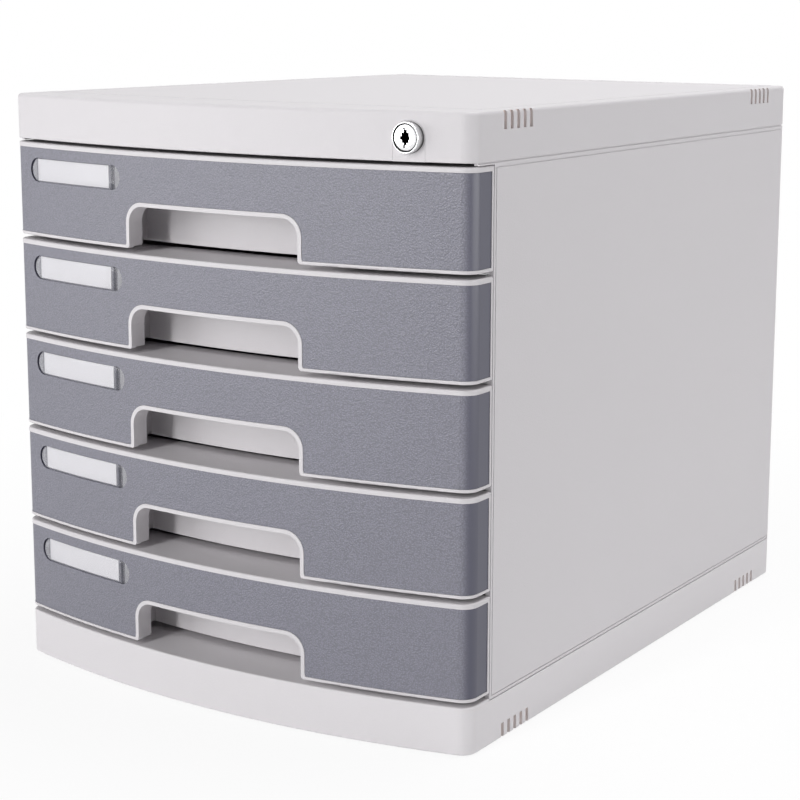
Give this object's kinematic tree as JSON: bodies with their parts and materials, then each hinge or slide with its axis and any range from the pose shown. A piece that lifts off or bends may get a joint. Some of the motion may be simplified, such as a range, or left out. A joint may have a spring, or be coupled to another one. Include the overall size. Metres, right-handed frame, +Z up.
{
  "type": "desktop file drawer",
  "caption": "Desktop file cabinet with a bowed front, shallow sliding drawers for A4 paper with finger pulls and label windows, and a cam lock in its lid.",
  "frame": {"origin": "centre of the bounding box's underside, on the desk under the feet", "axes": "+Z up, -Y is the front that the drawers open to, +X to the right seen from the front"},
  "size_m": [0.262, 0.351, 0.2826],
  "materials": {
    "white_plastic": "fine satin texture",
    "grey_plastic": "fine leather grain",
    "card": "plain card",
    "clear_plastic": "polished",
    "chrome": "polished",
    "steel": "zinc plated",
    "rubber": "matt"
  },
  "bodies": {
    "cabinet": {"base": "white_plastic", "rubber_feet": "rubber", "base_screws": "steel", "side_panel_right": "white_plastic", "side_panel_left": "white_plastic", "back_panel": "white_plastic", "top_cover": "white_plastic", "lock_insert": "white_plastic", "lock_housing": "chrome", "lock_clip": "steel", "lock_bar_guides": "white_plastic"},
    "drawer_5": {"drawer_5_tray": "white_plastic", "drawer_5_front": "white_plastic", "drawer_5_facia": "grey_plastic", "drawer_5_label_card": "card", "drawer_5_label_window": "clear_plastic"},
    "drawer_4": {"drawer_4_tray": "white_plastic", "drawer_4_front": "white_plastic", "drawer_4_facia": "grey_plastic", "drawer_4_label_card": "card", "drawer_4_label_window": "clear_plastic"},
    "drawer_3": {"drawer_3_tray": "white_plastic", "drawer_3_front": "white_plastic", "drawer_3_facia": "grey_plastic", "drawer_3_label_card": "card", "drawer_3_label_window": "clear_plastic"},
    "drawer_2": {"drawer_2_tray": "white_plastic", "drawer_2_front": "white_plastic", "drawer_2_facia": "grey_plastic", "drawer_2_label_card": "card", "drawer_2_label_window": "clear_plastic"},
    "drawer_1": {"drawer_1_tray": "white_plastic", "drawer_1_front": "white_plastic", "drawer_1_facia": "grey_plastic", "drawer_1_label_card": "card", "drawer_1_label_window": "clear_plastic"},
    "lock": {"lock_plug": "chrome", "lock_cam": "steel", "cam_screw": "steel"},
    "lock_bar": {"lock_bar": "steel"}
  },
  "joints": [
    {"name": "drawer_5_slide", "type": "slide", "parent": "cabinet", "child": "drawer_5", "axis": [0, -1, 0], "range_m": [0, 0.2]},
    {"name": "drawer_4_slide", "type": "slide", "parent": "cabinet", "child": "drawer_4", "axis": [0, -1, 0], "range_m": [0, 0.2]},
    {"name": "drawer_3_slide", "type": "slide", "parent": "cabinet", "child": "drawer_3", "axis": [0, -1, 0], "range_m": [0, 0.2]},
    {"name": "drawer_2_slide", "type": "slide", "parent": "cabinet", "child": "drawer_2", "axis": [0, -1, 0], "range_m": [0, 0.2]},
    {"name": "drawer_1_slide", "type": "slide", "parent": "cabinet", "child": "drawer_1", "axis": [0, -1, 0], "range_m": [0, 0.2]},
    {"name": "lock_turn", "type": "hinge", "parent": "cabinet", "child": "lock", "pos_m": [0.1026, -0.16514, 0.2711], "axis": [0, 1, 0], "range_deg": [0, 90]},
    {"name": "lock_bar_slide", "type": "slide", "parent": "cabinet", "child": "lock_bar", "axis": [0, 0, -1], "range_m": [0, 0.00424]}
  ],
  "couplings": [
    {"joint": "lock_turn", "follows": "lock_bar_slide", "rad_per_m": 370.24}
  ]
}
